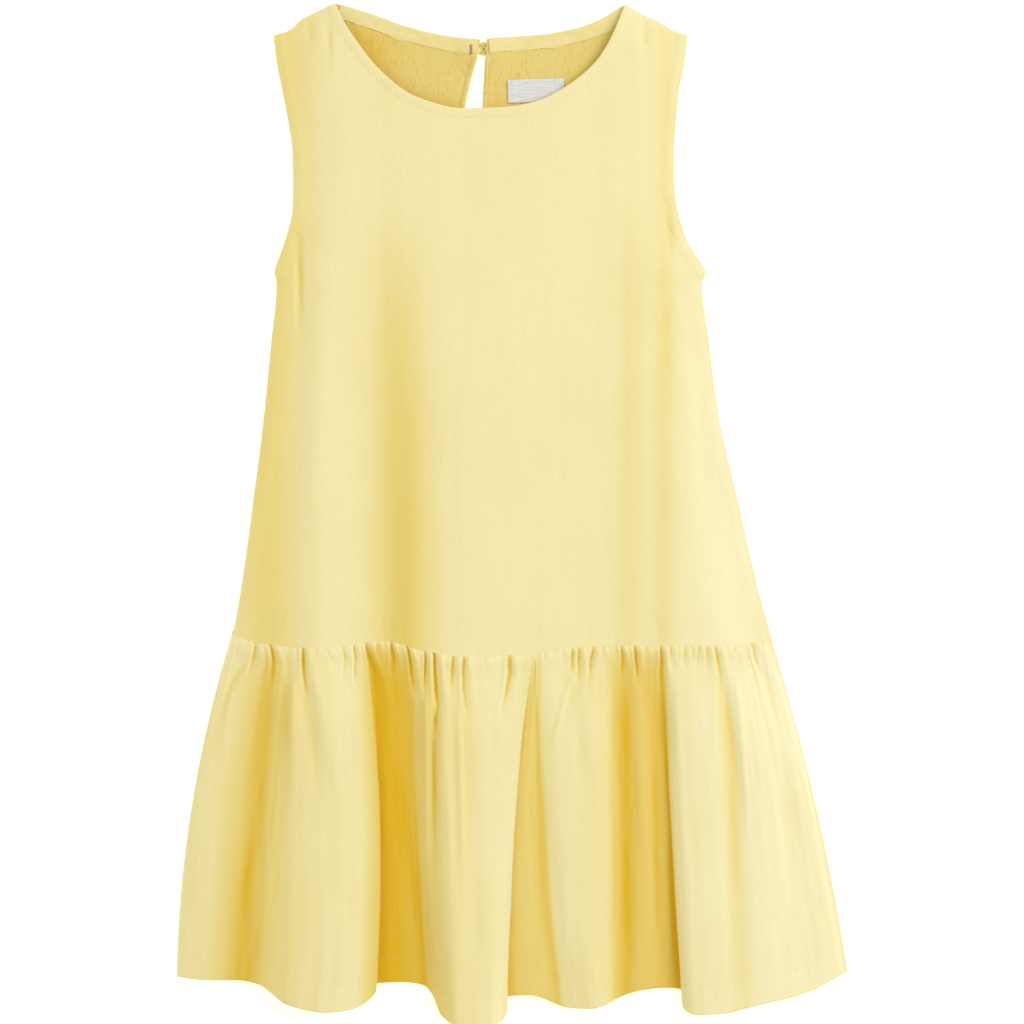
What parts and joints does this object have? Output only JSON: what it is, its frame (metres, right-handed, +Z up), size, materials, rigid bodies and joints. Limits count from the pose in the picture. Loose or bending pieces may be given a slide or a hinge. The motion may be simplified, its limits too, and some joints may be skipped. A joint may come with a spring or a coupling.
{
  "type": "sundress",
  "caption": "Child's sleeveless yellow cotton sundress with a gathered skirt tier, laid flat on its back, with a buttoned slit behind the neck.",
  "frame": {"origin": "under the middle of the dress's bounding box, on the surface that it lies on", "axes": "+Y from the hem to the neck, +Z up out of the front of the dress, +X to the wearer's left"},
  "size_m": [0.4635, 0.7041, 0.025],
  "materials": {
    "bodice_cotton": "matt crinkled weave",
    "skirt_cotton": "matt crinkled weave",
    "facing_cotton": "matt plain weave",
    "label_tape": "smooth woven satin",
    "button_resin": "dyed, polished",
    "loop_thread": "twisted thread"
  },
  "bodies": {
    "root": {"front_bodice": "bodice_cotton", "back_bodice": "bodice_cotton", "front_skirt": "skirt_cotton", "back_skirt": "skirt_cotton", "back_neck_facing_left": "facing_cotton", "back_neck_facing_right": "facing_cotton", "slit_facing": "facing_cotton", "neck_label": "label_tape", "back_button": "button_resin", "button_loop": "loop_thread"}
  },
  "joints": []
}
